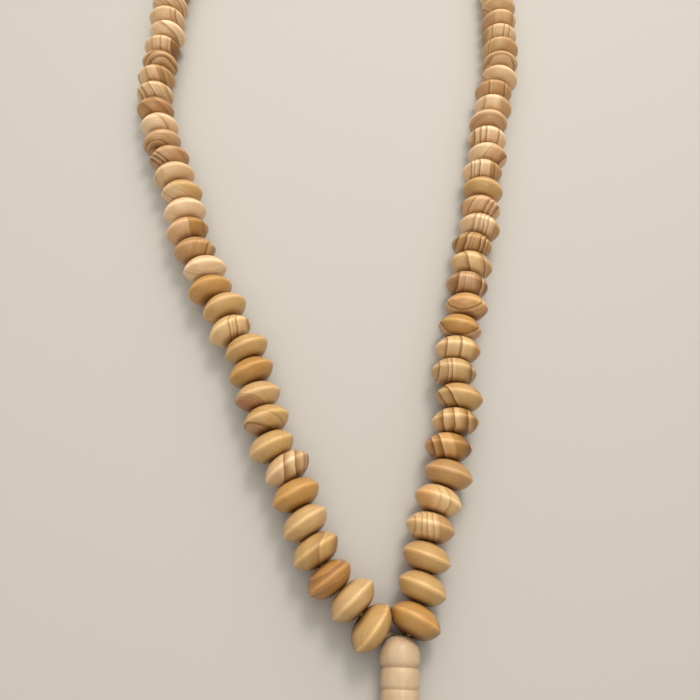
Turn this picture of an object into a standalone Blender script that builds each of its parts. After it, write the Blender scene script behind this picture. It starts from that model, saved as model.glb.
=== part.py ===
"""Wooden bead necklace: ninety-nine turned saucer beads on one thread, a whole loop that starts and ends
in a paler turned end bead with a plain knot behind it. It lies flat, as on a table: the beads stand on
their rims at z = 0, and the two strands fan out from the end bead and meet in a plain round at the back.
The end bead lies along Y, its knot towards -Y. The origin is the middle of the box's bottom face."""

import math

import bmesh
import bpy
from mathutils import Matrix, Vector

# Beads: turned saucers, widest at a soft ridge, drilled through
BEAD_COUNT = 99
BEAD_DIAMETER = 0.0120
BEAD_LENGTH = 0.0066
BEAD_PLAY = 0.00026
BEAD_SIDES = 12
THREAD_DIAMETER = 0.0012

# End bead: dome, ring and tapering tail, turned in one piece and drilled through
END_BEAD_DIAMETER = 0.0089
END_BEAD_LENGTH = 0.0250
END_BEAD_BORE = 0.0026
END_BEAD_SIDES = 16

# Knot: both thread ends twisted together through the bore, tied below the end bead
CORD_DIAMETER = 0.0020
CORD_STICKS_OUT = 0.0003
KNOT_DIAMETER = 0.0036
KNOT_LENGTH = 0.0034
KNOT_SIDES = 12

# Gap that touching pieces keep
CLEARANCE = 0.0003

# Half of a bead, from its ridge to its mouth: shares of the half length and of the radius
BEAD_SECTIONS = (
    {"along": 0.00, "radius": 1.00},
    {"along": 0.66, "radius": 0.78},
)

# End bead, from the dome's top to the tail's end: shares of its length and of its radius
END_BEAD_SECTIONS = (
    {"along": 0.000, "radius": 0.42},
    {"along": 0.018, "radius": 0.60},
    {"along": 0.060, "radius": 0.84},
    {"along": 0.110, "radius": 0.97},
    {"along": 0.140, "radius": 1.00},
    {"along": 0.190, "radius": 1.00},
    {"along": 0.236, "radius": 0.96},
    {"along": 0.262, "radius": 0.87},
    {"along": 0.288, "radius": 0.94},
    {"along": 0.405, "radius": 0.94},
    {"along": 0.430, "radius": 0.88},
    {"along": 0.455, "radius": 0.93},
    {"along": 0.620, "radius": 0.90},
    {"along": 0.800, "radius": 0.77},
    {"along": 0.930, "radius": 0.60},
    {"along": 0.975, "radius": 0.56},
    {"along": 1.000, "radius": 0.50},
)

# Knot, from the cord to its far side: shares of its length and of its radius
KNOT_SECTIONS = (
    {"along": 0.00, "radius": 0.72},
    {"along": 0.18, "radius": 0.96},
    {"along": 0.38, "radius": 1.00},
    {"along": 0.50, "radius": 0.86},
    {"along": 0.62, "radius": 0.97},
    {"along": 0.84, "radius": 0.88},
    {"along": 1.00, "radius": 0.50},
)

# Route of the bead centres seen from above, chosen by hand, from the dome's top as (0, 0): up the left
# strand from the end bead, and up the right one. The back round between them is worked out.
LEFT_ROUTE = (
    (-0.0067, 0.0009),
    (-0.0107, 0.0064),
    (-0.0160, 0.0109),
    (-0.0196, 0.0171),
    (-0.0254, 0.0300),
    (-0.0279, 0.0364),
    (-0.0318, 0.0418),
    (-0.0361, 0.0546),
    (-0.0408, 0.0679),
    (-0.0455, 0.0737),
    (-0.0517, 0.0850),
    (-0.0573, 0.0966),
    (-0.0619, 0.1092),
    (-0.0667, 0.1222),
    (-0.0721, 0.1348),
    (-0.0764, 0.1477),
    (-0.0783, 0.1617),
    (-0.0784, 0.1758),
    (-0.0789, 0.1965),
)
RIGHT_ROUTE = (
    (0.0034, 0.0029),
    (0.0048, 0.0096),
    (0.0070, 0.0233),
    (0.0114, 0.0366),
    (0.0135, 0.0504),
    (0.0150, 0.0572),
    (0.0142, 0.0643),
    (0.0161, 0.0776),
    (0.0187, 0.0912),
    (0.0204, 0.1042),
    (0.0230, 0.1108),
    (0.0245, 0.1243),
    (0.0268, 0.1377),
    (0.0293, 0.1573),
    (0.0326, 0.1707),
    (0.0340, 0.1842),
    (0.0345, 0.2048),
)

# How far a bead's axis turns from the strand's own direction, anticlockwise from above
BEAD_LEANS = (
    {"bead": 0, "degrees": 9.0},
    {"bead": 6, "degrees": 9.0},
    {"bead": 11, "degrees": -3.0},
    {"bead": 15, "degrees": -8.0},
    {"bead": 22, "degrees": -6.0},
    {"bead": 32, "degrees": 0.0},
    {"bead": 84, "degrees": 0.0},
    {"bead": 91, "degrees": 4.0},
    {"bead": 95, "degrees": 3.0},
    {"bead": 97, "degrees": -2.0},
    {"bead": 98, "degrees": -12.0},
)

BACK_STEP = math.radians(10)
CURVE_STEPS = 12
SETTLE_ROUNDS = 6
SMOOTH_ANGLE = math.radians(35)
UP = Vector((0.0, 0.0, 1.0))


def clear_scene():
    for old in list(bpy.data.objects):
        bpy.data.objects.remove(old, do_unlink=True)


def make_material(name, colour, roughness):
    material = bpy.data.materials.new(name)
    material.use_nodes = True
    shader = material.node_tree.nodes["Principled BSDF"]
    shader.inputs["Base Color"].default_value = (*colour, 1.0)
    shader.inputs["Roughness"].default_value = roughness
    shader.inputs["Metallic"].default_value = 0.0
    return material


def back_round(left, right, height):
    """A straight run up to this height on each side, and half a circle between them."""
    middle = (left.x + right.x) / 2
    radius = (right.x - left.x) / 2
    steps = round(math.pi / BACK_STEP)
    turns = [math.pi - math.pi * i / steps for i in range(steps + 1)]
    arc = [Vector((middle + radius * math.cos(a), height + radius * math.sin(a))) for a in turns]
    return [(left + arc[0]) / 2, *arc, (right + arc[-1]) / 2]


def smooth_curve(points):
    """A Catmull-Rom curve through the points, read at even steps between each pair."""
    ends = [2 * points[0] - points[1], *points, 2 * points[-1] - points[-2]]
    curve = []
    for a, b, c, d in zip(ends, ends[1:], ends[2:], ends[3:]):
        for step in range(CURVE_STEPS):
            t = step / CURVE_STEPS
            linear = (c - a) / 2
            square = a - 2.5 * b + 2 * c - d / 2
            cube = (3 * b - 3 * c + d - a) / 2
            curve.append(b + linear * t + square * t**2 + cube * t**3)
    return [*curve, points[-1]]


def length_of(curve):
    return sum((b - a).length for a, b in zip(curve, curve[1:]))


def point_at(curve, distance):
    for a, b in zip(curve, curve[1:]):
        step = (b - a).length
        if distance <= step:
            return a.lerp(b, distance / step)
        distance -= step
    return curve[-1].copy()


def bead_route():
    """The whole loop's curve. The back round's height gives it the length of all the beads."""
    left = [Vector(point) for point in LEFT_ROUTE]
    right = [Vector(point) for point in RIGHT_ROUTE]
    wanted = (BEAD_COUNT - 1) * (BEAD_LENGTH + BEAD_PLAY) + CLEARANCE
    height = max(left[-1].y, right[-1].y)
    for _ in range(SETTLE_ROUNDS):
        curve = smooth_curve([*left, *back_round(left[-1], right[-1], height), *reversed(right)])
        height += (wanted - length_of(curve)) / 2
    return curve


def lean_of(bead):
    for low, high in zip(BEAD_LEANS, BEAD_LEANS[1:]):
        if bead <= high["bead"]:
            share = (bead - low["bead"]) / (high["bead"] - low["bead"])
            return math.radians(low["degrees"] + share * (high["degrees"] - low["degrees"]))
    return math.radians(BEAD_LEANS[-1]["degrees"])


def bead_places(half):
    """Each bead's centre and axis, along the loop. The beads from this one on sit one clearance further."""
    curve = bead_route()
    pitch = (length_of(curve) - CLEARANCE) / (BEAD_COUNT - 1)
    centres = []
    for bead in range(BEAD_COUNT):
        distance = bead * pitch + (CLEARANCE if bead >= half else 0.0)
        centres.append(point_at(curve, distance))
    places = []
    for bead, centre in enumerate(centres):
        before = centres[max(bead - 2, 0)]
        after = centres[min(bead + 2, BEAD_COUNT - 1)]
        along = (after - before).normalized()
        along.rotate(Matrix.Rotation(lean_of(bead), 2))
        places.append((centre.to_3d() + UP * BEAD_DIAMETER / 2, along.to_3d()))
    return places


def ring_of(centre, axis, radius, sides):
    """Points round a level axis, the first straight out to its side."""
    side = axis.cross(UP)
    turns = [2 * math.pi * i / sides for i in range(sides)]
    return [centre + radius * (math.cos(a) * side + math.sin(a) * UP) for a in turns]


def bead_rings(centre, axis):
    half = [(-1.0, THREAD_DIAMETER / BEAD_DIAMETER)]
    half += [(-row["along"], row["radius"]) for row in reversed(BEAD_SECTIONS)]
    whole = half + [(-along, radius) for along, radius in reversed(half[:-1])]
    for along, radius in whole:
        middle = centre + axis * along * BEAD_LENGTH / 2
        yield ring_of(middle, axis, radius * BEAD_DIAMETER / 2, BEAD_SIDES)


def tube_object(name, rings, material, closed):
    """Skins the rings. A closed one joins its last ring to its first, and an open one has two end caps."""
    mesh = bmesh.new()
    loops = [[mesh.verts.new(point) for point in ring] for ring in rings]
    for first, second in zip(loops, loops[1:] + loops[:1] if closed else loops[1:]):
        for i in range(len(first)):
            j = (i + 1) % len(first)
            mesh.faces.new((first[i], first[j], second[j], second[i]))
    if not closed:
        mesh.faces.new(loops[0])
        mesh.faces.new(loops[-1])
    bmesh.ops.recalc_face_normals(mesh, faces=mesh.faces)
    data = bpy.data.meshes.new(name)
    mesh.to_mesh(data)
    mesh.free()
    data.shade_smooth()
    data.set_sharp_from_angle(angle=SMOOTH_ANGLE)
    data.materials.append(material)
    made = bpy.data.objects.new(name, data)
    bpy.context.scene.collection.objects.link(made)
    return made


def bead_string(name, places, material):
    """Beads and the thread between them, as one body."""
    rings = [ring for centre, axis in places for ring in bead_rings(centre, axis)]
    return tube_object(name, rings, material, closed=False)


def turned_rings(sections, start, length, radius, sides, axis_point):
    """Rings of a shape turned round a line along -Y, with a facet below."""
    rings = []
    facet_down = Matrix.Rotation(math.pi / sides, 3, "Y")
    for row in sections:
        centre = axis_point + Vector((0.0, start - row["along"] * length, 0.0))
        ring = ring_of(Vector(), Vector((0.0, -1.0, 0.0)), row["radius"] * radius, sides)
        rings.append([centre + facet_down @ point for point in ring])
    return rings


def end_bead_axis():
    """A point on the end bead's axis, level with the dome's top: its widest facet lies on the table."""
    height = END_BEAD_DIAMETER / 2 * math.cos(math.pi / END_BEAD_SIDES)
    return Vector((0.0, -CLEARANCE, height))


def end_bead(material):
    outside = turned_rings(
        END_BEAD_SECTIONS, 0.0, END_BEAD_LENGTH, END_BEAD_DIAMETER / 2, END_BEAD_SIDES, end_bead_axis()
    )
    bore = ({"along": 1.0, "radius": 1.0}, {"along": 0.0, "radius": 1.0})
    inside = turned_rings(
        bore, 0.0, END_BEAD_LENGTH, END_BEAD_BORE / 2, END_BEAD_SIDES, end_bead_axis()
    )
    return tube_object("end_bead", outside + inside, material, closed=True)


def end_knot(material):
    """The cord through the end bead's bore and the knot that holds it, as one body."""
    cord = ({"along": 0.0, "radius": 1.0}, {"along": 1.0, "radius": 1.0})
    cord_length = CORD_STICKS_OUT + END_BEAD_LENGTH + CLEARANCE
    rings = turned_rings(
        cord, CORD_STICKS_OUT, cord_length, CORD_DIAMETER / 2, KNOT_SIDES, end_bead_axis()
    )
    rings += turned_rings(
        KNOT_SECTIONS,
        CORD_STICKS_OUT - cord_length,
        KNOT_LENGTH,
        KNOT_DIAMETER / 2,
        KNOT_SIDES,
        end_bead_axis(),
    )
    return tube_object("end_knot", rings, material, closed=False)


def set_origin_below(made):
    """Moves the pieces so that the origin is the middle of their box's bottom face."""
    corners = [vertex.co for piece in made for vertex in piece.data.vertices]
    low = Vector(min(corner[i] for corner in corners) for i in range(3))
    high = Vector(max(corner[i] for corner in corners) for i in range(3))
    middle = Vector(((low.x + high.x) / 2, (low.y + high.y) / 2, low.z))
    for piece in made:
        piece.location = -middle


def main():
    clear_scene()
    bead_wood = make_material("bead_wood", (0.50, 0.28, 0.11), 0.38)
    end_wood = make_material("end_wood", (0.68, 0.48, 0.27), 0.45)
    thread = make_material("thread", (0.60, 0.47, 0.28), 0.85)
    half = (BEAD_COUNT + 1) // 2
    places = bead_places(half)
    made = [
        bead_string("bead_string_left", places[:half], bead_wood),
        bead_string("bead_string_right", places[half:], bead_wood),
        end_bead(end_wood),
        end_knot(thread),
    ]
    set_origin_below(made)


main()
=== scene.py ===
"""The looks of a wooden bead necklace: ninety-nine turned saucer beads with their growth rings, the thread
that they are on, and the end bead with its knot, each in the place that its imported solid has."""

import math
import random

import bpy
import numpy as np
from mathutils import Matrix, Vector


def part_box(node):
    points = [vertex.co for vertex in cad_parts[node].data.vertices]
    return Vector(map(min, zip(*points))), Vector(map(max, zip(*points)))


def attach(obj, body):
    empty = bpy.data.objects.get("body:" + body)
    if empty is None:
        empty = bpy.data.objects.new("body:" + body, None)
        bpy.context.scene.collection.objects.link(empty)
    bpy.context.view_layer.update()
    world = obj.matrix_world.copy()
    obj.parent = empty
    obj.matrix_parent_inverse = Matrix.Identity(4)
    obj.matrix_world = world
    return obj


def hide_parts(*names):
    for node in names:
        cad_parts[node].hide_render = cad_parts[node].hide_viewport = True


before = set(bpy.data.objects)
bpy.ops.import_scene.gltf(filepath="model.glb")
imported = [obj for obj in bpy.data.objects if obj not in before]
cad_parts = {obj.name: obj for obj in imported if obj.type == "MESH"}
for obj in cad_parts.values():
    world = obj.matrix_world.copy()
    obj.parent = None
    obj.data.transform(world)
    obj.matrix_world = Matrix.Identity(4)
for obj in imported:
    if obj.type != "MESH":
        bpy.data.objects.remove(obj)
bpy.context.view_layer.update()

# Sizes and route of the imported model, in metres
BEAD_COUNT = 99
BEAD_DIAMETER = 0.0120
BEAD_LENGTH = 0.0066
BEAD_PLAY = 0.00026
END_BEAD_DIAMETER = 0.0089
END_BEAD_LENGTH = 0.0250
END_BEAD_BORE = 0.0026
KNOT_DIAMETER = 0.0036
KNOT_LENGTH = 0.0034
CLEARANCE = 0.0003
LEFT_ROUTE = (
    (-0.0067, 0.0009),
    (-0.0107, 0.0064),
    (-0.0160, 0.0109),
    (-0.0196, 0.0171),
    (-0.0254, 0.0300),
    (-0.0279, 0.0364),
    (-0.0318, 0.0418),
    (-0.0361, 0.0546),
    (-0.0408, 0.0679),
    (-0.0455, 0.0737),
    (-0.0517, 0.0850),
    (-0.0573, 0.0966),
    (-0.0619, 0.1092),
    (-0.0667, 0.1222),
    (-0.0721, 0.1348),
    (-0.0764, 0.1477),
    (-0.0783, 0.1617),
    (-0.0784, 0.1758),
    (-0.0789, 0.1965),
)
RIGHT_ROUTE = (
    (0.0034, 0.0029),
    (0.0048, 0.0096),
    (0.0070, 0.0233),
    (0.0114, 0.0366),
    (0.0135, 0.0504),
    (0.0150, 0.0572),
    (0.0142, 0.0643),
    (0.0161, 0.0776),
    (0.0187, 0.0912),
    (0.0204, 0.1042),
    (0.0230, 0.1108),
    (0.0245, 0.1243),
    (0.0268, 0.1377),
    (0.0293, 0.1573),
    (0.0326, 0.1707),
    (0.0340, 0.1842),
    (0.0345, 0.2048),
)

# How far a bead's axis turns from the strand's own direction, anticlockwise from above: (bead, degrees)
BEAD_LEANS = (
    (0, 9.0),
    (6, 9.0),
    (11, -3.0),
    (15, -8.0),
    (22, -6.0),
    (32, 0.0),
    (84, 0.0),
    (91, 4.0),
    (95, 3.0),
    (97, -2.0),
    (98, -12.0),
)
BACK_STEPS = 18
CURVE_STEPS = 12
SETTLE_ROUNDS = 6
NEIGHBOURS = 2
HALF = (BEAD_COUNT + 1) // 2
UP = Vector((0.0, 0.0, 1.0))

# Bead shape: shares of the half length and of the radius follow across**FULLNESS + along**RIDGE = 1
FULLNESS = 3.2
RIDGE = 1.14
TURNED_LENGTH = 0.00676
BEAD_SEGMENTS = 56
SLOPE_STEPS = 13
BORE_RADIUS = 0.00095
MOUTH_RADIUS = 0.00125
MOUTH_DEPTH = 0.00035
RIM_DEPTH = 0.00003
BEADS_IN_PIECE = 10
SHARP_ANGLE = math.radians(40)

# Thread: three plies, with the turn's length along it
THREAD_RADIUS = 0.00055
THREAD_PLIES = 3
THREAD_TURN = 0.0030
THREAD_SIDES = 12
PLY_DEPTH = 0.16

# Thread from the first beads into the end bead: points from the middle of the hole in the dome's top, and
# how far inside a bead's mouth the bend starts
LEFT_END = ((-0.0004, -0.0060, 0.0), (-0.0004, -0.0010, -0.0003), (-0.0012, 0.0004, -0.0016))
RIGHT_END = ((0.0012, 0.0004, -0.0020), (0.0004, -0.0010, -0.0003), (0.0004, -0.0060, 0.0))
BEND_INSIDE = 0.0004

# Knot: how far up the end bead's bore both ends start, how far up they still lie side by side, where they
# enter the knot from its middle, and how far a trefoil's formula reaches from its own middle
ENDS_START = 0.006
ENDS_PART = 0.0005
ENDS_ENTER = (0.0004, 0.0010)
TREFOIL_REACH = 3
TREFOIL_STEPS = 96

# End bead's dome: shares of its length and radius follow a rounded arc from the hole's edge to the widest
DOME_SHARE = 0.165
DOME_FROM = 20
DOME_TO = 90
DOME_STEPS = 14
DOME_FULLNESS = 0.85
DOME_FLATNESS = 0.95
DOME_HOLE_DEPTH = 0.02
END_BEAD_SEGMENTS = 96

# End bead below the dome: (share of its length, share of its radius)
END_BEAD_SECTIONS = (
    (0.192, 0.995),
    (0.216, 0.978),
    (0.236, 0.940),
    (0.249, 0.895),
    (0.260, 0.868),
    (0.270, 0.872),
    (0.281, 0.902),
    (0.296, 0.932),
    (0.314, 0.944),
    (0.340, 0.948),
    (0.392, 0.946),
    (0.412, 0.930),
    (0.424, 0.890),
    (0.431, 0.878),
    (0.438, 0.892),
    (0.450, 0.922),
    (0.480, 0.930),
    (0.550, 0.920),
    (0.625, 0.897),
    (0.710, 0.850),
    (0.795, 0.780),
    (0.870, 0.690),
    (0.930, 0.610),
    (0.970, 0.565),
    (0.990, 0.530),
    (1.000, 0.490),
)

# End bead's tail hole: (share of its length, share of the bore's radius)
TAIL_HOLE_SECTIONS = ((1.000, 1.12), (0.992, 1.00))

# Painted shade above the end bead's grooves: (share of its length, darkness)
GROOVE_PAINTED_SHADES = (
    (0.165, 0.00),
    (0.250, 0.30),
    (0.260, 0.38),
    (0.281, 0.00),
    (0.350, 0.00),
    (0.424, 0.28),
    (0.431, 0.36),
    (0.445, 0.00),
)
BETWEEN_RIDGE_AND_MOUTH = 0.5

# Wood colours, linear
TONES = {
    "pale": (0.584, 0.367, 0.157),
    "sand": (0.678, 0.445, 0.226),
    "straw": (0.543, 0.329, 0.119),
    "tan": (0.481, 0.269, 0.100),
    "clay": (0.517, 0.299, 0.137),
    "gold": (0.499, 0.263, 0.072),
    "honey": (0.419, 0.215, 0.057),
    "orange": (0.437, 0.212, 0.060),
    "brown": (0.302, 0.145, 0.046),
    "pink": (0.624, 0.367, 0.173),
    "rust": (0.402, 0.184, 0.070),
    "olive": (0.374, 0.222, 0.066),
    "cream": (0.766, 0.522, 0.289),
    "butter": (0.695, 0.452, 0.202),
    "amber": (0.615, 0.337, 0.124),
    "end": (0.572, 0.411, 0.246),
}
LINE_TINT = (0.36, 0.23, 0.09)
EARLY_WOOD = (1.0, 0.82, 0.58)
BLOTCH_TINT = (0.94, 0.89, 0.86)
# Painted shade darkening each bead towards its mouths, and a painted highlight along its ridge
MOUTH_PAINTED_SHADE = (0.36, 0.23, 0.09)
RIDGE_PAINTED_HIGHLIGHT = (1.36, 1.40, 1.50)
THREAD_DARK = (0.22, 0.14, 0.07)
THREAD_LIGHT = (0.62, 0.47, 0.28)
FLOOR_COLOUR = (0.47, 0.438, 0.383, 1.0)

# Where the painted shade at the mouths and the painted highlight on the ridge begin and are full:
# shares of the way from the ridge to a mouth
MOUTH_SHADE_ZONE = (0.70, 1.05)
RIDGE_HIGHLIGHT_ZONE = (0.25, 0.0)

# Waves in the growth rings: (noise scale per mm, mm that they move a ring), drawn out along the fibres
RING_WAVES = ((0.20, 1.7), (0.9, 0.30), (2.6, 0.16))
WAVES_ALONG = 0.45

# Growth rings: noise scale and strength of their uneven spacing, power by which the gentlest darkens
# outwards and how much more the sharpest has, and share of a ring where its outer edge begins
RING_UNEVEN_SCALE = 0.8
RING_UNEVEN = 0.9
RING_FADE = 1.4
RING_FADE_SPREAD = 7.0
RING_EDGE = 0.93

# Marks: power of their rise, mm in which their outer edge ends, and the pale wood past it
MARK_RISE = 1.3
MARK_EDGE = 0.22
PALE_WOOD = 0.16
PALE_WOOD_FROM = 0.2
PALE_WOOD_TO = 1.3

# Fibres, pores and blotches: noise scales per mm, the noise where pores and blotches begin and are full,
# how much they take from the light, and the bump's height in metres
FIBRE_SCALE = (2.4, 2.4, 0.2)
PORE_SCALE = (6.0, 6.0, 0.6)
BLOTCH_SCALE = 0.2
PORE_ZONE = (0.6, 0.8)
BLOTCH_ZONE = (0.35, 0.75)
FIBRE_SHADE = 0.28
PORE_SHADE = 0.16
FIBRE_ROUGHNESS = 0.16
WOOD_BUMP = 0.00008
THREAD_FIBRE_SCALE = (4.0, 4.0, 0.6)
THREAD_BUMP = 0.0001

# Far apart in one long block, mm, so that no two pieces share a figure
BLOCK_STEP = 50
END_BLOCK_START = 9000

# Marks that every bead has room for, and where the unused ones lie: mm outwards, past all its wood
MARKS_PER_BEAD = 4
OUTSIDE = 90.0

# How the beads in view lie, counted along the loop: sideways from the route, mm; turned on the table and
# tipped towards the front, degrees; share of the usual diameter
LAY = {
    0: (0.20, 3.5, 10, 1.00),
    1: (0.05, -2.5, 4, 1.00),
    2: (-0.15, -4.5, 5, 0.97),
    3: (0.00, -5.0, 2, 0.995),
    4: (0.05, 3.0, 3, 0.98),
    5: (0.30, -6.0, 2, 1.00),
    6: (0.30, 2.5, 2, 1.00),
    7: (-0.05, -1.0, 7, 0.98),
    8: (0.55, -6.5, 1, 0.97),
    9: (-0.10, -1.0, 6, 0.99),
    10: (-0.20, 4.0, 5, 1.00),
    11: (0.30, 3.5, 7, 0.98),
    12: (-0.35, 5.0, 1, 0.975),
    13: (1.20, 1.0, 0, 1.00),
    14: (-0.25, 0.0, 1, 1.00),
    15: (0.70, -2.0, 5, 0.985),
    16: (-0.05, -1.0, 5, 0.965),
    17: (-0.55, 6.0, 3, 1.00),
    18: (0.20, 4.0, 3, 1.00),
    19: (0.75, -1.5, 4, 0.98),
    20: (0.05, 2.5, 2, 1.00),
    21: (0.50, 0.0, 3, 0.97),
    22: (-0.10, 4.0, 4, 0.955),
    23: (0.60, -3.0, 2, 0.945),
    24: (0.15, -1.0, 4, 0.94),
    25: (0.20, 2.0, 3, 0.94),
    26: (0.20, 4.5, 2, 0.96),
    27: (0.45, 3.5, 4, 0.94),
    28: (0.05, 4.0, 3, 0.95),
    29: (1.00, -1.0, 2, 0.96),
    30: (0.00, 3.0, 3, 0.97),
    31: (0.10, 1.5, 3, 0.98),
    68: (0.08, 0.0, 3, 0.99),
    69: (-0.15, 3.0, 3, 0.99),
    70: (-0.20, -2.0, 4, 0.97),
    71: (-0.05, -2.5, 3, 0.99),
    72: (-0.20, 2.0, 2, 0.98),
    73: (0.10, -4.0, 3, 0.99),
    74: (-0.70, 4.0, 4, 0.985),
    75: (0.45, -2.0, 2, 0.99),
    76: (-0.45, 4.0, 3, 1.00),
    77: (-0.35, 0.0, 2, 0.985),
    78: (0.15, -3.5, 3, 1.00),
    79: (-0.75, 4.0, 4, 1.00),
    80: (0.25, -3.0, 3, 1.00),
    81: (-0.15, 0.0, 2, 0.98),
    82: (0.15, -4.5, 3, 0.995),
    83: (0.20, 2.0, 4, 0.955),
    84: (0.60, -3.0, 3, 0.99),
    85: (-0.05, -1.0, 2, 0.97),
    86: (0.85, 0.0, 4, 0.975),
    87: (0.05, -4.5, 8, 0.975),
    88: (0.25, -3.0, 5, 1.00),
    89: (-0.35, -2.5, 1, 0.985),
    90: (0.15, -6.5, 4, 1.00),
    91: (0.35, 0.5, 2, 0.99),
    92: (-0.65, 3.0, 3, 0.985),
    93: (0.35, -4.5, 6, 1.00),
    94: (-0.15, -7.0, 2, 0.965),
    95: (-0.05, -1.0, 1, 0.97),
    96: (0.20, -6.5, 5, 0.96),
    97: (0.10, -9.5, 2, 0.955),
    98: (-0.15, -3.0, -2, 1.00),
}
ONWARDS = {0: -0.20, 89: 0.15, 98: -0.30}  # mm up the strand


def cut(tone, turn, tip=0, pith=40, rings=(2.0, 0.15), marks=(), second=None):
    """How a bead was cut from its block, its middle pith mm from the pith. The growth rings' outer side
    faces turn degrees from the right, seen from above, and tip degrees up. Rings are (spacing, darkness),
    each mark is a dark ring at (mm outwards from the middle, darkness, mm over which it fades inwards), and
    the second tone is (tone, mm where it starts, mm where it is full)."""
    marks = [*marks, *[(OUTSIDE, 0.0, 1.0)] * (MARKS_PER_BEAD - len(marks))]
    return tone, turn, tip, pith, rings, marks, second or (tone, OUTSIDE, OUTSIDE + 1.0)


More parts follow.
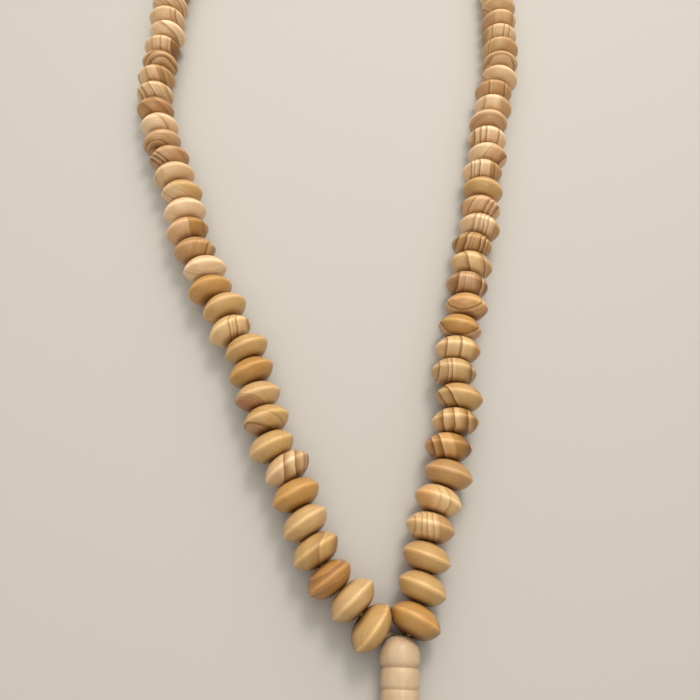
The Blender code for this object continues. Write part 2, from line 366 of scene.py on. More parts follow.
CUTS = {
    # Painted shade: the brown second tone darkens this first bead's lower part
    0: cut("straw", 88, -88, 40, (1.3, 0.12), (), ("brown", -3.0, 1.0)),
    1: cut("pale", 85, 10, 40, (1.6, 0.16), [(-1.8, 0.25, 1.2)]),
    2: cut("orange", 84, 5, 40, (1.5, 0.2), [(1.9, 0.5, 1.2), (-0.9, 0.3, 1.0)]),
    3: cut("straw", -42, 0, 20, (2.2, 0.14), [(1.4, 0.5, 2.4), (4.2, 0.7, 1.2)]),
    4: cut("pale", 80, 20, 40, (1.6, 0.16), [(-1.9, 0.3, 0.8)]),
    5: cut("gold", 86, 10, 40, (1.6, 0.16)),
    6: cut("sand", 152, 0, 40, (1.4, 0.08),
           [(1.2, 0.85, 2.3), (-1.7, 0.9, 2.0), (-3.6, 0.75, 0.9), (-4.7, 0.7, 0.8)], ("rust", -2.6, -5.5)),
    7: cut("straw", 150, 20, 30, (1.8, 0.16), [(-3.3, 0.5, 0.8), (-4.6, 0.7, 0.8)], ("pale", 2.4, 4.6)),
    8: cut("straw", -118, 0, 14, (2.0, 0.12), [(0.6, 0.35, 0.8), (3.2, 0.8, 0.5)], ("rust", 3.2, 3.4)),
    9: cut("pale", -124, 0, 14, (2.0, 0.12), [(2.7, 0.6, 0.5)], ("rust", 2.7, 3.1)),
    10: cut("gold", 85, 20, 40, (1.8, 0.16), (), ("olive", 1.5, -3.0)),
    11: cut("straw", -98, 0, 40, (2.0, 0.16), [(3.0, 0.9, 0.4)], ("brown", 3.2, 4.4)),
    12: cut("butter", -24, 0, 40, (1.5, 0.06),
            [(0.6, 0.7, 0.5), (1.3, 0.4, 0.4), (2.2, 0.8, 0.55), (5.2, 0.9, 0.9)]),
    13: cut("straw", 75, 40, 40, (1.8, 0.16), [(-2.6, 0.4, 0.3)], ("pink", 2.2, 6.0)),
    14: cut("gold", 85, 25, 40, (1.8, 0.16), (), ("pale", 3.6, 5.6)),
    15: cut("cream", 75, 40, 40, (1.7, 0.2), [(0.4, 0.35, 0.6)]),
    16: cut("tan", -34, 0, 40, (1.8, 0.2), [(1.8, 0.1, 1.6), (3.9, 0.8, 0.35), (4.9, 0.5, 0.3)]),
    17: cut("pink", -6, 0, 40, (1.6, 0.08), [(5.0, 0.5, 0.9)], ("honey", 1.2, 1.35)),
    18: cut("cream", 60, 30, 40, (2.0, 0.16)),
    19: cut("sand", 30, 20, 7, (2.6, 0.1), [(-3.6, 0.9, 0.35), (-1.0, 0.7, 0.4), (2.2, 0.5, 0.5)],
            ("straw", 2.2, 2.5)),
    20: cut("sand", -60, 20, 10, (2.8, 0.3), [(-2.6, 0.5, 1.7)], ("sand", 0.4, 2.2)),
    21: cut("clay", 42, 0, 40, (1.6, 0.16),
            [(-4.1, 1.0, 0.7), (-3.0, 1.0, 0.7), (-1.9, 0.95, 0.6), (2.8, 0.4, 1.6)], ("rust", 0.5, 6.0)),
    22: cut("clay", -104, -10, 9, (1.8, 0.14), [(1.0, 0.3, 0.5), (2.3, 0.7, 0.4), (3.0, 0.7, 0.4)],
            ("tan", 1.0, 2.6)),
    23: cut("cream", -115, 0, 9, (2.8, 0.12), [(1.6, 0.6, 0.7)]),
    24: cut("tan", 48, 0, 20, (3.2, 0.2), [(-2.0, 0.5, 2.2), (1.4, 0.5, 2.2)], ("rust", -4.0, 5.0)),
    25: cut("sand", 30, 0, 40, (1.0, 0.4),
            [(-4.0, 1.0, 0.7), (-2.7, 0.9, 0.7), (-0.5, 1.0, 0.5), (3.5, 0.7, 0.9)]),
    26: cut("sand", 16, 5, 40, (2.2, 0.25), [(-4.6, 0.9, 0.7), (-1.4, 0.6, 1.3), (2.9, 0.6, 1.4)],
            ("tan", 1.0, 1.2)),
    27: cut("tan", -80, 0, 12, (1.3, 0.45), [(-0.6, 0.6, 0.5), (0.9, 0.8, 0.6), (2.3, 0.8, 0.6)]),
    28: cut("sand", -4, 0, 40, (1.5, 0.35), [(-1.8, 0.5, 0.9), (1.0, 0.6, 0.8), (3.0, 0.5, 0.8)],
            ("brown", 3.4, 3.9)),
    29: cut("cream", 55, 0, 30, (2.6, 0.15), [(0.2, 0.75, 1.3)]),
    30: cut("sand", -10, 10, 40, (3.0, 0.2), [(3.4, 0.5, 0.6), (4.4, 0.7, 0.7)]),
    31: cut("sand", 48, 0, 30, (1.4, 0.6), [(-1.4, 0.7, 0.8), (1.4, 0.7, 0.8)]),
    68: cut("pale", 60, 30, 20, (3.0, 0.30), [(-2.6, 0.7, 1.0)], ("brown", -3.6, -5.0)),
    69: cut("pink", 3, 0, 40, (2.4, 0.14), [(4.0, 0.6, 1.7)], ("clay", -2.0, -2.4)),
    70: cut("sand", 1, 0, 40, (1.3, 0.22), [(-2.6, 0.7, 0.8), (0.9, 0.8, 0.5), (2.7, 0.8, 0.5)],
            ("olive", -3.0, -5.5)),
    71: cut("pale", -30, 10, 40, (2.0, 0.18), [(-2.3, 0.6, 0.5), (-1.2, 0.3, 0.5)], ("tan", 0.0, 3.0)),
    72: cut("pale", -92, 0, 12, (1.6, 0.3), [(0.7, 0.5, 0.5), (2.0, 0.6, 0.5)], ("clay", 0.7, 1.4)),
    73: cut("sand", 60, 30, 14, (3.0, 0.14), [(-2.4, 0.5, 1.7)]),
    74: cut("tan", 5, 0, 40, (2.6, 0.1), [(-1.9, 0.75, 0.6), (3.2, 0.85, 0.6)], ("clay", -2.1, -3.0)),
    75: cut("cream", 5, 5, 40, (2.5, 0.12), [(-2.7, 0.5, 1.5)], ("clay", 1.0, 3.0)),
    76: cut("cream", -90, 0, 14, (2.0, 0.14), [(0.2, 0.4, 0.4), (2.0, 0.3, 0.6)], ("clay", 0.2, 0.9)),
    77: cut("cream", 4, 0, 40, (1.3, 0.3),
            [(-4.3, 1.0, 1.4), (-2.4, 0.9, 0.8), (-0.7, 0.9, 0.7), (2.7, 0.85, 0.6)]),
    78: cut("cream", -38, 5, 40, (2.8, 0.12), [(1.0, 0.6, 0.5), (4.4, 0.9, 1.2)], ("pink", 1.0, 1.2)),
    79: cut("cream", 2, 0, 40, (1.1, 0.2),
            [(-3.6, 0.8, 0.6), (-2.8, 0.6, 0.4), (-1.2, 0.9, 0.9), (3.2, 0.5, 1.0)], ("tan", 1.7, 1.9)),
    80: cut("straw", 80, 20, 40, (2.4, 0.14), (), ("tan", -1.0, -2.5)),
    81: cut("pink", -32, 5, 40, (1.3, 0.3),
            [(-1.2, 0.6, 0.7), (2.2, 0.85, 0.6), (3.3, 0.85, 0.5), (4.2, 0.85, 0.4)], ("rust", -2.4, -5.0)),
    82: cut("cream", -6, 0, 40, (0.8, 0.4),
            [(-1.7, 0.8, 0.7), (-0.2, 0.75, 0.4), (0.9, 0.75, 0.4), (2.0, 0.7, 0.5)], ("tan", 2.4, 4.5)),
    83: cut("tan", -12, 0, 40, (1.0, 0.55),
            [(-4.2, 1.0, 0.7), (-1.9, 1.0, 1.0), (2.0, 1.0, 0.6), (3.3, 1.0, 0.7)], ("olive", -3.0, -5.0)),
    84: cut("butter", 28, 0, 40, (2.0, 0.1), [(-1.5, 0.85, 1.6), (2.3, 0.95, 1.5)], ("tan", 2.3, 2.6)),
    85: cut("clay", 2, 0, 40, (1.4, 0.22),
            [(-2.8, 0.9, 2.6), (-1.0, 0.4, 0.4), (3.4, 1.0, 2.2), (5.4, 0.9, 1.4)], ("rust", 3.4, 5.0)),
    86: cut("amber", -40, -68, 40, (1.3, 0.30), [(-3.05, 0.95, 0.45), (-1.6, 0.3, 0.5)],
            ("rust", -3.0, 1.6)),
    87: cut("gold", -52, -72, 40, (2.4, 0.12), [(-2.5, 0.5, 1.9), (-2.5, 0.85, 0.35)],
            ("clay", -2.5, -2.2)),
    88: cut("butter", 2, 0, 40, (1.8, 0.12), [(-3.2, 0.9, 1.0), (0.4, 0.95, 1.0)], ("orange", 2.6, 4.6)),
    89: cut("pale", 4, 0, 40, (1.2, 0.25),
            [(-4.3, 0.85, 0.6), (-2.0, 0.5, 0.5), (-0.9, 0.9, 0.5), (4.1, 1.0, 1.5)], ("olive", 4.1, 4.3)),
    90: cut("straw", 38, 0, 26, (2.6, 0.12), [(-4.3, 0.85, 0.8), (-2.2, 1.0, 0.9)], ("rust", 2.0, 4.6)),
    91: cut("butter", 5, 0, 40, (1.6, 0.15),
            [(-3.1, 0.95, 2.0), (-0.7, 0.95, 1.6), (2.5, 0.95, 2.0), (5.0, 0.8, 1.6)],
            ("honey", -1.0, 4.5)),
    92: cut("amber", 22, 0, 30, (1.6, 0.05), [(-4.2, 1.0, 1.8), (-1.9, 1.0, 2.4), (4.4, 1.0, 3.2)],
            ("honey", 0.5, 1.1)),
    93: cut("tan", 86, 10, 40, (1.8, 0.16)),
    94: cut("butter", 202, 0, 12, (2.4, 0.14), [(-0.6, 0.4, 0.8), (1.4, 0.3, 0.6)], ("amber", 0.6, 4.2)),
    95: cut("butter", 14, 0, 40, (1.0, 0.1),
            [(-3.6, 0.55, 0.6), (-2.3, 0.5, 0.5), (-1.1, 0.5, 0.6), (0.3, 0.5, 0.7)], ("tan", 0.3, 1.8)),
    96: cut("straw", 86, 10, 40, (1.8, 0.16), (), ("tan", 1.0, -2.5)),
    97: cut("straw", 88, 5, 40, (1.6, 0.16)),
    # Painted shade: the brown second tone darkens this last bead's lower half
    98: cut("gold", 88, -88, 40, (1.5, 0.14), (), ("brown", -4.4, -0.8)),
}
END_CUT = cut("end", 0, 60, 30, (1.5, 0.16))
END_RING_START = 0.3

# Beads out of sight: what their cuts are picked from, how far they are turned and tipped, and their size
HIDDEN_TURNS = ((0, 0), (10, 5), (-30, 10), (40, 20), (85, 15), (80, 60))
HIDDEN_TURN_SPREAD = (-8, 8)
HIDDEN_PITHS = (10, 24, 40)
HIDDEN_RINGS = ((1.2, 3.0), (0.1, 0.4))
HIDDEN_MARKS = ((-4, 4), (0.3, 0.9), (0.3, 1.4))
HIDDEN_SECOND = (1.5, 3.0)
HIDDEN_SECOND_SHARE = 0.3
HIDDEN_TURNED = (-4, 4)
HIDDEN_TIPPED = (0, 5)
HIDDEN_SIZE = 0.98

# How the beads differ in shape: start of the draws, share of TURNED_LENGTH, and what RIDGE gains
SHAPE_SEED = 1000
LENGTH_SPREAD = (0.985, 1.0)
RIDGE_SPREAD = (-0.04, 0.12)

# Camera of the photograph
CAMERA_AT = Vector((0.00329, -0.15042, 0.16939))
CAMERA_TILT = math.radians(63.07)
CAMERA_TURN = math.radians(-3.89)
CAMERA_ROLL = math.radians(6.41)
LENS = 36.0
SENSOR_WIDTH = 36.0
CLIP_START = 0.01

# Studio: metres, watts and degrees
WARM_WHITE = (1.0, 0.985, 0.96)
COOL_WHITE = (0.98, 0.99, 1.0)
LIGHTS = (
    {"name": "key", "at": (0.20, 0.80, 1.22), "size": 2.2, "power": 20.7, "colour": WARM_WHITE},
    {"name": "glint", "at": (0.25, 0.80, 1.20), "size": 0.45, "power": 9.6, "colour": WARM_WHITE},
    {"name": "fill", "at": (-0.5, -0.7, 1.3), "size": 1.6, "power": 4.0, "colour": COOL_WHITE},
    {
        "name": "front",
        "at": (-0.05, -0.22, 0.42),
        "size": 0.35,
        "power": 0.10,
        "colour": WARM_WHITE,
        "target": (0.0, 0.14, 0.0),
        "spread": 60,
    },
)
SKY_COLOUR = (1.0, 0.98, 0.96, 1.0)
SKY_STRENGTH = 0.37
FLOOR_SIZE = 6.0
FLOOR_DROP = 0.00005


def smooth_curve(points):
    """A Catmull-Rom curve through the points, read at even steps between each pair."""
    ends = [2 * points[0] - points[1], *points, 2 * points[-1] - points[-2]]
    curve = []
    for a, b, c, d in zip(ends, ends[1:], ends[2:], ends[3:]):
        for step in range(CURVE_STEPS):
            t = step / CURVE_STEPS
            linear = (c - a) / 2
            square = a - 2.5 * b + 2 * c - d / 2
            cube = (3 * b - 3 * c + d - a) / 2
            curve.append(b + linear * t + square * t**2 + cube * t**3)
    return [*curve, points[-1]]


def length_of(curve):
    return sum((b - a).length for a, b in zip(curve, curve[1:]))


def point_at(curve, distance):
    for a, b in zip(curve, curve[1:]):
        step = (b - a).length
        if distance <= step:
            return a.lerp(b, distance / step)
        distance -= step
    return curve[-1].copy()


def back_round(left, right, height):
    """A straight run up to this height on each side, and half a circle between them."""
    middle = (left.x + right.x) / 2
    radius = (right.x - left.x) / 2
    turns = [math.pi - math.pi * i / BACK_STEPS for i in range(BACK_STEPS + 1)]
    arc = [Vector((middle + radius * math.cos(a), height + radius * math.sin(a))) for a in turns]
    return [(left + arc[0]) / 2, *arc, (right + arc[-1]) / 2]


def bead_route():
    """The whole loop's curve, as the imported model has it."""
    left = [Vector(point) for point in LEFT_ROUTE]
    right = [Vector(point) for point in RIGHT_ROUTE]
    wanted = (BEAD_COUNT - 1) * (BEAD_LENGTH + BEAD_PLAY) + CLEARANCE
    height = max(left[-1].y, right[-1].y)
    for _ in range(SETTLE_ROUNDS):
        curve = smooth_curve([*left, *back_round(left[-1], right[-1], height), *reversed(right)])
        height += (wanted - length_of(curve)) / 2
    return curve


def lean_of(bead):
    for (low, low_lean), (high, high_lean) in zip(BEAD_LEANS, BEAD_LEANS[1:]):
        if bead <= high:
            share = (bead - low) / (high - low)
            return math.radians(low_lean + share * (high_lean - low_lean))
    return math.radians(BEAD_LEANS[-1][1])


def bead_places(shift):
    """Each bead's centre, and its axis with the back round ahead, in the row frame."""
    curve = bead_route()
    pitch = (length_of(curve) - CLEARANCE) / (BEAD_COUNT - 1)
    centres = []
    for bead in range(BEAD_COUNT):
        distance = bead * pitch + (CLEARANCE if bead >= HALF else 0.0)
        centres.append(point_at(curve, distance))
    places = []
    for bead, centre in enumerate(centres):
        before = centres[max(bead - NEIGHBOURS, 0)]
        after = centres[min(bead + NEIGHBOURS, BEAD_COUNT - 1)]
        along = (after - before).normalized()
        along.rotate(Matrix.Rotation(lean_of(bead), 2))
        along = along.to_3d() if bead < HALF else -along.to_3d()
        aside = along.cross(UP) * LAY[bead][0] if bead in LAY else Vector()
        onwards = along * ONWARDS.get(bead, 0.0)
        centre = centre.to_3d() + shift + UP * BEAD_DIAMETER / 2 + (aside + onwards) / 1000
        places.append((centre, along))
    return places


def bead_profile(radius, half_length, ridge):
    """(radius, along) from one mouth over the ridge to the other, with the edges of the drilled bore."""
    start = math.asin((MOUTH_RADIUS / radius) ** (FULLNESS / 2))
    slope = []
    for step in range(SLOPE_STEPS + 1):
        angle = start + (math.pi / 2 - start) * step / SLOPE_STEPS
        across = math.sin(angle) ** (2 / FULLNESS)
        along = max(math.cos(angle), 0.0) ** (2 / ridge)
        slope.append((radius * across, -half_length * along))
    mouth = slope[0][1]
    edge = [
        (BORE_RADIUS, mouth + MOUTH_DEPTH),
        (BORE_RADIUS, mouth + MOUTH_DEPTH / 3),
        ((MOUTH_RADIUS + BORE_RADIUS) / 2, mouth + RIM_DEPTH),
    ]
    half = edge + slope
    return half + [(r, -z) for r, z in reversed(half[:-1])]


def turned(profile, segments):
    """Points and faces of a closed shape turned round the Y axis."""
    turns = np.linspace(0, 2 * np.pi, segments, endpoint=False)
    rows = np.array(profile)
    across, up = rows[:, :1] * np.cos(turns), rows[:, :1] * np.sin(turns)
    along = np.repeat(rows[:, 1:], segments, axis=1)
    points = np.stack([across, along, up], axis=-1).reshape(-1, 3)
    count = len(profile)
    ring = np.arange(count)[:, None] * segments
    step = np.arange(segments)[None, :]
    following = (step + 1) % segments
    above = (np.arange(count)[:, None] + 1) % count * segments
    faces = np.stack([ring + step, ring + following, above + following, above + step], axis=-1)
    return points, faces.reshape(-1, 4)


def joined(parts):
    """One set of points, faces and values out of several."""
    points, faces, values = zip(*parts)
    starts = np.cumsum([0, *[len(array) for array in points[:-1]]])
    faces = [array + start for array, start in zip(faces, starts)]
    values = {key: np.concatenate([part[key] for part in values]) for key in values[0]}
    return np.concatenate(points), np.concatenate(faces), values


def mesh_object(name, points, faces, values, material):
    """A smooth mesh with named values at its points: three numbers each, or four for a colour."""
    data = bpy.data.meshes.new(name)
    data.from_pydata(points.tolist(), [], faces.tolist())
    for key, array in values.items():
        kind = "FLOAT_COLOR" if array.shape[1] == 4 else "FLOAT_VECTOR"
        layer = data.attributes.new(key, kind, "POINT")
        layer.data.foreach_set("color" if kind == "FLOAT_COLOR" else "vector", array.ravel())
    data.shade_smooth()
    data.set_sharp_from_angle(angle=SHARP_ANGLE)
    data.materials.append(material)
    made = bpy.data.objects.new(name, data)
    bpy.context.scene.collection.objects.link(made)
    return made


def cut_of(bead):
    """A bead's cut: listed where it is in view, and picked where it isn't."""
    if bead in CUTS:
        return CUTS[bead]
    pick = random.Random(bead)
    turn, tip = pick.choice(HIDDEN_TURNS)
    marks = []
    for _ in range(pick.randint(0, MARKS_PER_BEAD)):
        marks.append([pick.uniform(*limits) for limits in HIDDEN_MARKS])
    tone, other = pick.sample([tone for tone in TONES if tone != "end"], 2)
    second = (other, *HIDDEN_SECOND) if pick.random() < HIDDEN_SECOND_SHARE else None
    rings = [pick.uniform(*limits) for limits in HIDDEN_RINGS]
    turn += pick.uniform(*HIDDEN_TURN_SPREAD)
    return cut(tone, turn, tip, pick.choice(HIDDEN_PITHS), rings, marks, second)


def wood_block(local, turn, tip, pith):
    """Where each point lay in its block of wood, in mm: the pith runs along the third axis."""
    turn, tip = math.radians(turn), math.radians(tip)
    growth = np.array([math.cos(tip) * math.cos(turn), math.cos(tip) * math.sin(turn), math.sin(tip)])
    fibres = np.array([-math.sin(turn), math.cos(turn), 0.0])
    third = np.cross(growth, fibres)
    block = local @ np.stack([growth, third, fibres], axis=1) * 1000
    block[:, 0] += pith
    return block


def wood_values(local, cut_used, block_start, ring_start, away):
    """What the wood material reads at each point. Away is its share of the way from ridge to mouth."""
    tone, turn, tip, pith, (spacing, darkness), marks, (second, start, full) = cut_used
    count = len(local)
    block = wood_block(local, turn, tip, pith)
    block[:, 2] += block_start
    values = {
        "wood_block": block,
        "wood_figure": np.tile((spacing, darkness, ring_start), (count, 1)),
        "wood_middle": np.stack([np.full(count, pith), away, np.zeros(count)], axis=1),
        "wood_tone": np.tile((*TONES[tone], start), (count, 1)),
        "wood_second": np.tile((*TONES[second], full), (count, 1)),
    }
    for i, key in enumerate(("wood_marks", "wood_darks", "wood_fades")):
        values[key] = np.tile([mark[i] for mark in marks], (count, 1))
    return values


def bead_mesh(bead, centre, axis):
    """One bead's points, faces and wood values, standing on the table."""
    pick = random.Random(SHAPE_SEED + bead)
    hidden = (0.0, pick.uniform(*HIDDEN_TURNED), pick.uniform(*HIDDEN_TIPPED), HIDDEN_SIZE)
    _, turned_by, tipped_by, size = LAY.get(bead, hidden)
    radius = BEAD_DIAMETER / 2 * size
    half_length = TURNED_LENGTH / 2 * pick.uniform(*LENGTH_SPREAD)
    ridge = RIDGE + pick.uniform(*RIDGE_SPREAD)
    local, faces = turned(bead_profile(radius, half_length, ridge), BEAD_SEGMENTS)
    along = Matrix.Rotation(math.radians(turned_by), 3, "Z") @ axis
    tipped = Matrix.Rotation(math.radians(tipped_by), 3, "X")
    facing = Matrix((along.cross(UP), along, UP)).transposed() @ tipped
    points = local @ np.array(facing).T + np.array(centre)
    points[:, 2] -= points[:, 2].min()
    away = np.abs(local[:, 1]) / half_length
    values = wood_values(local, cut_of(bead), BLOCK_STEP * bead, pick.random() + bead, away)
    return points, faces, values


class Nodes:
    """Short calls that add shader nodes to one material and join them."""

    def __init__(self, name):
        self.material = bpy.data.materials.new(name)
        self.material.use_nodes = True
        self.tree = self.material.node_tree
        self.shader = self.tree.nodes["Principled BSDF"]

    def add(self, kind, values=None, **settings):
        node = self.tree.nodes.new(kind)
        for key, value in settings.items():
            setattr(node, key, value)
        for key, value in (values or {}).items():
            self.feed(node.inputs[key], value)
        return node

    def feed(self, socket, value):
        if isinstance(value, bpy.types.NodeSocket):
            self.tree.links.new(value, socket)
        else:
            socket.default_value = value

    def math(self, operation, a, b=0.0, c=0.0, clamp=False):
        values = {0: a, 1: b, 2: c}
        return self.add("ShaderNodeMath", values, operation=operation, use_clamp=clamp).outputs[0]

    def scaled(self, where, scale):
        return self.add("ShaderNodeVectorMath", {0: where, 1: scale}, operation="MULTIPLY").outputs[0]

    def attribute(self, name):
        return self.add("ShaderNodeAttribute", attribute_name=name).outputs

    def three_values(self, name):
        return self.add("ShaderNodeSeparateXYZ", {0: self.attribute(name)["Vector"]}).outputs

    def four_values(self, name):
        outputs = self.attribute(name)
        parts = self.add("ShaderNodeSeparateColor", {0: outputs["Color"]}).outputs
        return parts[0], parts[1], parts[2], outputs["Alpha"]

    def noise(self, where, scale, detail=2.0, roughness=0.5):
        values = {"Vector": where, "Scale": scale, "Detail": detail, "Roughness": roughness}
        return self.add("ShaderNodeTexNoise", values).outputs["Fac"]

    def noise_along(self, where, scale, detail=1.0):
        values = {"W": where, "Scale": scale, "Detail": detail}
        return self.add("ShaderNodeTexNoise", values, noise_dimensions="1D").outputs["Fac"]

    def chance(self, number):
        return self.add("ShaderNodeTexWhiteNoise", {"W": number}, noise_dimensions="1D").outputs["Value"]

    def smooth_step(self, value, low, high):
        values = {"Value": value, "From Min": low, "From Max": high}
        return self.add("ShaderNodeMapRange", values, interpolation_type="SMOOTHSTEP").outputs[0]

    def mix(self, share, a, b, blend="MIX"):
        node = self.add("ShaderNodeMix", data_type="RGBA", blend_type=blend)
        colours = [socket for socket in node.inputs if socket.type == "RGBA"]
        self.feed(node.inputs[0], share)
        for socket, value in zip(colours, (a, b)):
            self.feed(socket, value if isinstance(value, bpy.types.NodeSocket) else (*value, 1.0))
        return next(socket for socket in node.outputs if socket.type == "RGBA")

    def finish(self, **values):
        for key, value in values.items():
            self.feed(self.shader.inputs[key.replace("_", " ")], value)
        return self.material


def grown_distance(nodes, block, pith):
    """How far outwards from the bead's middle a point grew, in mm, with the growth rings' waves."""
    across = nodes.scaled(block, (1.0, 1.0, 0.0))
    radius = nodes.add("ShaderNodeVectorMath", {0: across}, operation="LENGTH").outputs["Value"]
    outwards = nodes.math("SUBTRACT", radius, pith)
    drawn_out = nodes.scaled(block, (1.0, 1.0, WAVES_ALONG))
    for scale, height in RING_WAVES:
        outwards = nodes.math("MULTIPLY_ADD", nodes.noise(drawn_out, scale), height, outwards)
    return nodes.math("SUBTRACT", outwards, sum(height for _, height in RING_WAVES) / 2)


def ring_light(nodes, outwards):
    """The light that the growth rings leave: each darkens outwards and ends sharply."""
    spacing, darkness, ring_start = nodes.three_values("wood_figure")
    ring = nodes.math("ADD", nodes.math("DIVIDE", outwards, spacing), ring_start)
    ring = nodes.math("MULTIPLY_ADD", nodes.noise_along(ring, RING_UNEVEN_SCALE), RING_UNEVEN, ring)
    step = nodes.math("FRACT", ring)
    chance = nodes.chance(nodes.math("FLOOR", ring))
    fade = nodes.math("MULTIPLY_ADD", chance, RING_FADE_SPREAD, RING_FADE)
    edge = nodes.smooth_step(step, 1.0, RING_EDGE)
    line = nodes.math("MULTIPLY", nodes.math("POWER", step, fade), edge)
    return nodes.math("SUBTRACT", 1.0, nodes.math("MULTIPLY", line, darkness, clamp=True))


def marked_light(nodes, outwards, light):
    """The light with the bead's own dark rings in it, and pale wood just past each."""
    places, darks, fades = (nodes.four_values(key) for key in ("wood_marks", "wood_darks", "wood_fades"))
    for place, dark, width in zip(places, darks, fades):
        past = nodes.math("SUBTRACT", outwards, place)
        rise = nodes.math("ADD", nodes.math("DIVIDE", past, width), 1.0, clamp=True)
        within = nodes.smooth_step(past, MARK_EDGE, 0.0)
        mark = nodes.math("MULTIPLY", nodes.math("POWER", rise, MARK_RISE), within)
        near = nodes.smooth_step(past, PALE_WOOD_TO, PALE_WOOD_FROM)
        pale = nodes.math("MULTIPLY", nodes.math("SUBTRACT", 1.0, within), near)
        mark = nodes.math("MULTIPLY_ADD", pale, -PALE_WOOD, mark)
        left = nodes.math("SUBTRACT", 1.0, nodes.math("MULTIPLY", mark, dark))
        light = nodes.math("MULTIPLY", light, left)
    return light


def wood_material(name, roughness, coat):
    """Turned wood: growth rings that fade inwards and end sharply, a second tone, fibres, pores and
    blotches, with a painted highlight along the ridge and painted shade towards the mouths."""
    nodes = Nodes(name)
    block = nodes.attribute("wood_block")["Vector"]
    pith, away, _ = nodes.three_values("wood_middle")
    tone, second = nodes.attribute("wood_tone"), nodes.attribute("wood_second")
    outwards = grown_distance(nodes, block, pith)
    light = marked_light(nodes, outwards, ring_light(nodes, outwards))
    fibres = nodes.noise(nodes.scaled(block, FIBRE_SCALE), 1.0, detail=3.0, roughness=0.6)
    pores = nodes.noise(nodes.scaled(block, PORE_SCALE), 1.0, detail=1.0)
    blotch = nodes.noise(block, BLOTCH_SCALE, detail=1.0)

    change = nodes.smooth_step(outwards, tone["Alpha"], second["Alpha"])
    colour = nodes.mix(change, tone["Color"], second["Color"])
    colour = nodes.mix(nodes.smooth_step(blotch, *BLOTCH_ZONE), colour, BLOTCH_TINT, "MULTIPLY")
    colour = nodes.mix(nodes.math("SUBTRACT", 1.0, light, clamp=True), colour, LINE_TINT, "MULTIPLY")
    colour = nodes.mix(nodes.math("SUBTRACT", light, 1.0, clamp=True), colour, EARLY_WOOD)
    # Painted shade towards the mouths, then a painted highlight along the ridge
    colour = nodes.mix(nodes.smooth_step(away, *MOUTH_SHADE_ZONE), colour, MOUTH_PAINTED_SHADE, "MULTIPLY")
    colour = nodes.mix(nodes.smooth_step(away, *RIDGE_HIGHLIGHT_ZONE), colour, RIDGE_PAINTED_HIGHLIGHT, "MULTIPLY")
    shade = nodes.math("MULTIPLY_ADD", fibres, FIBRE_SHADE, 1.0 - FIBRE_SHADE / 2)
    pored = nodes.math("MULTIPLY", nodes.smooth_step(pores, *PORE_ZONE), PORE_SHADE)
    shade = nodes.math("SUBTRACT", shade, pored)
    grey = nodes.add("ShaderNodeCombineColor", {0: shade, 1: shade, 2: shade}).outputs[0]
    rough = nodes.math("MULTIPLY_ADD", fibres, FIBRE_ROUGHNESS, roughness - FIBRE_ROUGHNESS / 2)
    bump = nodes.add("ShaderNodeBump", {"Height": shade, "Strength": 0.25, "Distance": WOOD_BUMP})
    return nodes.finish(
        Base_Color=nodes.mix(1.0, colour, grey, "MULTIPLY"),
        Roughness=rough,
        Normal=bump.outputs[0],
        Specular_IOR_Level=0.3,
        Coat_Weight=coat,
        Coat_Roughness=0.25,
    )


def thread_material():
    """Twisted tan thread: fibres wound round it, matt."""
    nodes = Nodes("thread")
    where = nodes.attribute("thread_lay")["Vector"]
    fibres = nodes.noise(nodes.scaled(where, THREAD_FIBRE_SCALE), 1.0, detail=3.0, roughness=0.65)
    colour = nodes.mix(fibres, THREAD_DARK, THREAD_LIGHT)
    bump = nodes.add("ShaderNodeBump", {"Height": fibres, "Strength": 0.5, "Distance": THREAD_BUMP})
    return nodes.finish(Base_Color=colour, Roughness=0.85, Normal=bump.outputs[0])


def floor_material():
    return Nodes("floor").finish(Base_Color=FLOOR_COLOUR, Roughness=0.7)


def make_beads(places, material):
    """Both strings, in pieces of neighbouring beads."""
    for side, beads in (("left", range(HALF)), ("right", range(HALF, BEAD_COUNT))):
        for number, start in enumerate(range(0, len(beads), BEADS_IN_PIECE), 1):
            group = beads[start : start + BEADS_IN_PIECE]
            shape = joined([bead_mesh(bead, *places[bead]) for bead in group])
            piece = mesh_object(f"beads_{side}_{number}", *shape, material)
            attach(piece, "root")
            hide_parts(f"bead_string_{side}")


def end_bead_profile():
    """(radius, along) from the dome's hole over dome, ring and tail to the far hole: one closed line."""
    big, bore = END_BEAD_DIAMETER / 2, END_BEAD_BORE / 2
    rows = []
    for step in range(DOME_STEPS + 1):
        angle = math.radians(DOME_FROM + (DOME_TO - DOME_FROM) * step / DOME_STEPS)
        along = DOME_SHARE - DOME_SHARE * math.cos(angle) ** DOME_FLATNESS
        rows.append((big * math.sin(angle) ** DOME_FULLNESS, along))
    rows += [(share * big, along) for along, share in END_BEAD_SECTIONS]
    rows += [(share * bore, along) for along, share in TAIL_HOLE_SECTIONS]
    rows = [(bore, rows[0][1] + DOME_HOLE_DEPTH), *rows]
    return [(radius, along * END_BEAD_LENGTH) for radius, along in rows]


def painted_groove_shade(local):
    """Painted shade above the end bead's grooves at each point, on the scale of the painted shade at a
    bead's mouths.
    """
    along = -local[:, 1] / END_BEAD_LENGTH
    return BETWEEN_RIDGE_AND_MOUTH + np.interp(along, *zip(*GROOVE_PAINTED_SHADES))


def make_end_bead(material):
    """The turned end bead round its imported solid's axis, dome towards the beads."""
    low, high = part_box("end_bead")
    axis = Vector(((low.x + high.x) / 2, high.y, END_BEAD_DIAMETER / 2))
    local, faces = turned([(r, -z) for r, z in end_bead_profile()], END_BEAD_SEGMENTS)
    # The painted shade above the grooves goes in as the end bead's share from ridge to mouth
    values = wood_values(local, END_CUT, END_BLOCK_START, END_RING_START, painted_groove_shade(local))
    piece = mesh_object("end_bead_turned", local + np.array(axis), faces[:, ::-1], values, material)
    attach(piece, "root")
    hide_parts("end_bead")


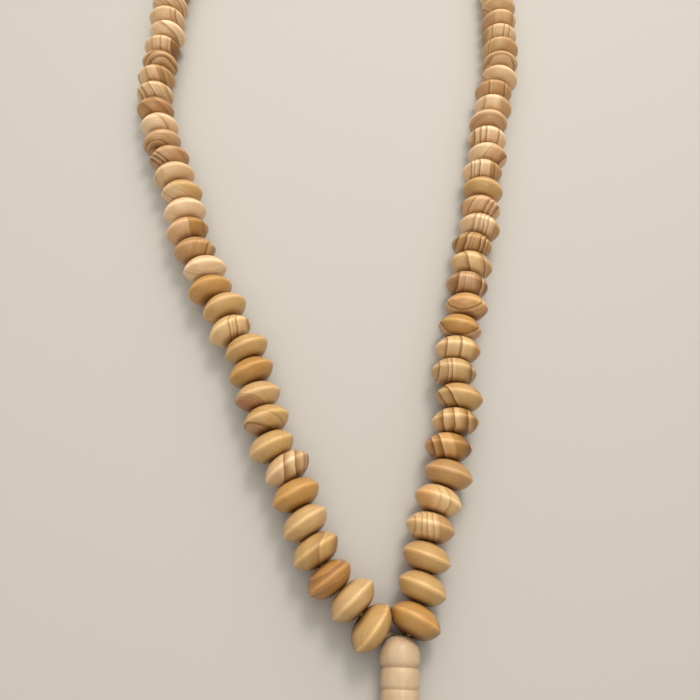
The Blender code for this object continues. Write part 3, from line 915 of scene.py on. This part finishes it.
def thread_mesh(path):
    """A twisted thread along a path: points, faces, and how its fibres lie."""
    points, lay, distance = [], [], 0.0
    for i, centre in enumerate(path):
        distance += (centre - path[i - 1]).length if i else 0.0
        along = (path[min(i + 1, len(path) - 1)] - path[max(i - 1, 0)]).normalized()
        side = along.cross(UP).normalized()
        top = side.cross(along)
        twist = 2 * math.pi * distance / THREAD_TURN
        for k in range(THREAD_SIDES):
            angle = 2 * math.pi * k / THREAD_SIDES
            wound = angle - twist
            lobe = 1 - PLY_DEPTH * (1 - abs(math.cos(THREAD_PLIES * wound / 2)))
            points.append(centre + THREAD_RADIUS * lobe * (math.cos(angle) * side + math.sin(angle) * top))
            lay.append((math.cos(wound), math.sin(wound), distance * 1000))
    ring = np.arange(len(path) - 1)[:, None] * THREAD_SIDES
    step = np.arange(THREAD_SIDES)[None, :]
    following = (step + 1) % THREAD_SIDES
    above = ring + THREAD_SIDES
    faces = np.stack([ring + step, ring + following, above + following, above + step], axis=-1)
    return np.array(points), faces.reshape(-1, 4), {"thread_lay": np.array(lay)}


def make_thread(places, shift, material):
    """The thread through all the beads, and both its ends from the first beads into the end bead's hole."""
    hole = shift + Vector((0.0, -CLEARANCE, END_BEAD_DIAMETER / 2))
    inside = BEAD_LENGTH / 2 - BEND_INSIDE
    left_mouth, right_mouth = (centre - axis * inside for centre, axis in (places[0], places[-1]))
    left_end = [*[hole + Vector(point) for point in LEFT_END], left_mouth]
    right_end = [right_mouth, *[hole + Vector(point) for point in RIGHT_END]]
    path = [*smooth_curve(left_end), *[centre for centre, _ in places], *smooth_curve(right_end)]
    piece = mesh_object("thread", *thread_mesh(path), material)
    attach(piece, "root")
    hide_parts("bead_string_left", "bead_string_right")


def make_knot(shift, material):
    """Both thread ends out of the end bead's tail and the knot that holds them."""
    tail = shift + Vector((0.0, -CLEARANCE - END_BEAD_LENGTH, END_BEAD_DIAMETER / 2))
    middle = tail - Vector((0.0, CLEARANCE + KNOT_LENGTH / 2, 0.0))
    paths = []
    for side in (-1, 1):
        start = tail + Vector((side * THREAD_RADIUS, ENDS_START, 0.0))
        parting = tail + Vector((side * THREAD_RADIUS, ENDS_PART, 0.0))
        entry = middle + Vector((side * ENDS_ENTER[0], ENDS_ENTER[1], 0.0))
        paths.append([start, parting, entry])
    reach = (KNOT_DIAMETER / 2 - THREAD_RADIUS) / TREFOIL_REACH
    half_length = KNOT_LENGTH / 2 - THREAD_RADIUS
    trefoil = []
    for step in range(TREFOIL_STEPS + 1):
        t = 2 * math.pi * step / TREFOIL_STEPS
        x = math.sin(t) + 2 * math.sin(2 * t)
        y = -math.sin(3 * t)
        z = math.cos(t) - 2 * math.cos(2 * t)
        trefoil.append(middle + Vector((x * reach, y * half_length, z * reach)))
    piece = mesh_object("knot", *joined([thread_mesh(path) for path in [*paths, trefoil]]), material)
    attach(piece, "root")
    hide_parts("end_knot")


def make_floor():
    bpy.ops.mesh.primitive_plane_add(size=FLOOR_SIZE, location=(0.0, 0.0, -FLOOR_DROP))
    floor = bpy.context.object
    floor.name = "floor"
    floor.data.materials.append(floor_material())


def area_light(name, at, size, power, colour, target=(0.0, 0.0, 0.0), spread=180):
    data = bpy.data.lights.new(name, "AREA")
    data.size = size
    data.spread = math.radians(spread)
    data.energy = power
    data.color = colour
    lamp = bpy.data.objects.new(name, data)
    lamp.location = at
    lamp.rotation_euler = (Vector(target) - Vector(at)).to_track_quat("-Z", "Y").to_euler()
    bpy.context.scene.collection.objects.link(lamp)


def make_sky():
    world = bpy.data.worlds.new("studio")
    world.use_nodes = True
    background = world.node_tree.nodes["Background"]
    background.inputs["Color"].default_value = SKY_COLOUR
    background.inputs["Strength"].default_value = SKY_STRENGTH
    bpy.context.scene.world = world


def make_camera():
    data = bpy.data.cameras.new("camera")
    data.lens = LENS
    data.sensor_width = SENSOR_WIDTH
    data.clip_start = CLIP_START
    camera = bpy.data.objects.new("camera", data)
    turn = Matrix.Rotation(CAMERA_TURN, 4, "Z")
    tilt = Matrix.Rotation(math.pi / 2 - CAMERA_TILT, 4, "X")
    roll = Matrix.Rotation(CAMERA_ROLL, 4, "Z")
    camera.matrix_world = Matrix.Translation(CAMERA_AT) @ turn @ tilt @ roll
    bpy.context.scene.collection.objects.link(camera)
    bpy.context.scene.camera = camera


def main():
    low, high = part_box("end_bead")
    shift = Vector(((low.x + high.x) / 2, high.y + CLEARANCE, 0.0))
    places = bead_places(shift)
    make_beads(places, wood_material("bead_wood", roughness=0.40, coat=0.25))
    make_end_bead(wood_material("end_wood", roughness=0.44, coat=0.08))
    thread = thread_material()
    make_thread(places, shift, thread)
    make_knot(shift, thread)
    make_floor()
    for light in LIGHTS:
        area_light(**light)
    make_sky()
    make_camera()
    bpy.context.scene.view_settings.view_transform = "Standard"


main()
